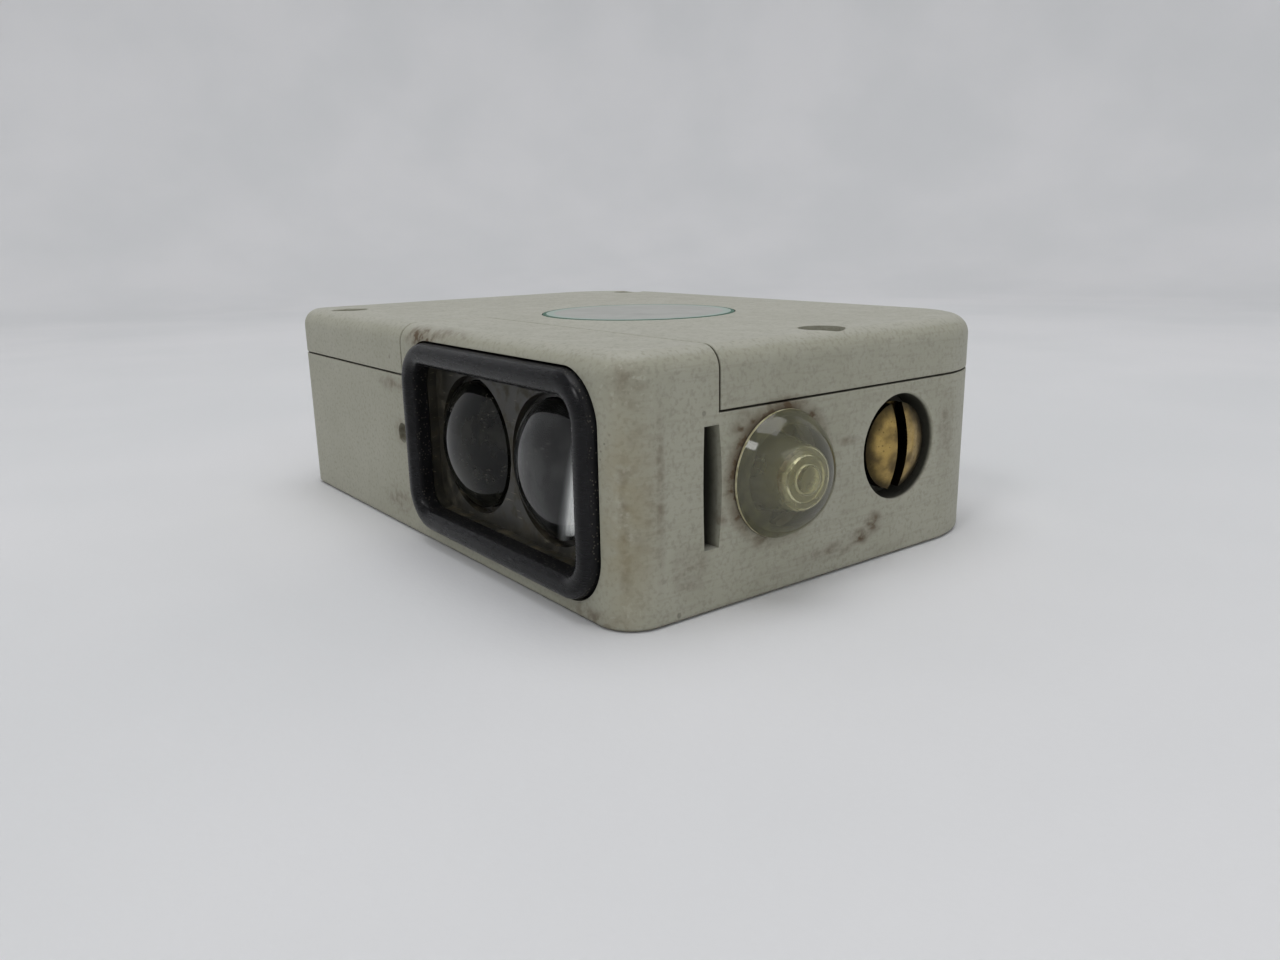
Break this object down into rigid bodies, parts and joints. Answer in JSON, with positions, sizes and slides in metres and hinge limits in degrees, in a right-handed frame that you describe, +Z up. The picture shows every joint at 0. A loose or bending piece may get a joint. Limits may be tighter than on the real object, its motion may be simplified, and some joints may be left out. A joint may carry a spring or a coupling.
{
  "type": "photoelectric sensor",
  "caption": "Flat grey sensor case with twin round lenses behind a black bezel, a clear indicator dome, a slotted brass adjuster and a screwed cover.",
  "frame": {"origin": "on the underside, in the middle of the case's footprint", "axes": "+X to the end with the indicator dome and adjuster, -Y out of the lens face, +Z up through the cover"},
  "size_m": [0.0988, 0.0604, 0.026],
  "materials": {
    "case": "fine satin grey moulding, stained and rubbed",
    "badge": "pale enamel look with a green edge line",
    "black_gloss": "glossy black moulding",
    "black_matt": "matt black moulding, dusty",
    "lens": "clear polished lens",
    "dome": "clear plastic, yellowed",
    "lamp": "tinted clear lamp body",
    "diode": "smoky clear epoxy",
    "rubber": "black rubber",
    "brass": "tarnished brass",
    "nickel": "nickel-plated brass, satin",
    "steel": "zinc-plated steel",
    "tin": "tinned metal",
    "laminate": "green glass laminate",
    "component_black": "moulded black component",
    "capacitor_sleeve": "dark blue sleeve",
    "film_box": "red-brown dipped box",
    "resistor_body": "beige lacquer",
    "terminal_plastic": "dull green moulding",
    "pot_case": "blue moulded case"
  },
  "bodies": {
    "root": {"base_housing": "case", "top_cover": "case", "cover_gasket": "rubber", "cover_screws": "steel", "badge_plate": "badge", "mounting_inserts": "brass", "window_bezel": "black_gloss", "bezel_seal": "rubber", "lens_holder": "black_matt", "emitter_lens": "lens", "receiver_lens": "lens", "lens_retaining_rings": "black_matt", "diode_carrier": "black_matt", "emitter_diode": "diode", "receiver_diode": "diode", "optics_board": "laminate", "carrier_screws": "steel", "indicator_dome": "dome", "dome_seal": "rubber", "dome_clip": "steel", "indicator_lamp": "lamp", "lamp_holder": "black_matt", "adjuster_bush": "brass", "adjuster_seal": "rubber", "potentiometer_body": "pot_case", "potentiometer_pins": "tin", "main_board": "laminate", "board_screws": "steel", "smoothing_capacitors": "capacitor_sleeve", "film_capacitors": "film_box", "resistors": "resistor_body", "amplifier_chip": "component_black", "output_transistor": "component_black", "terminal_block": "terminal_plastic", "terminal_clamps": "tin", "terminal_screws": "steel", "gland_washer": "rubber", "gland_body": "nickel", "gland_seal": "rubber", "gland_nut": "nickel", "gland_locknut": "nickel"},
    "adjuster": {"adjuster_screw": "brass", "potentiometer_rotor": "terminal_plastic"}
  },
  "joints": [
    {"name": "adjuster_turn", "type": "hinge", "parent": "root", "child": "adjuster", "pos_m": [0.0388, 0.009, 0.0125], "axis": [1, 0, 0], "range_deg": [-135, 135]}
  ]
}
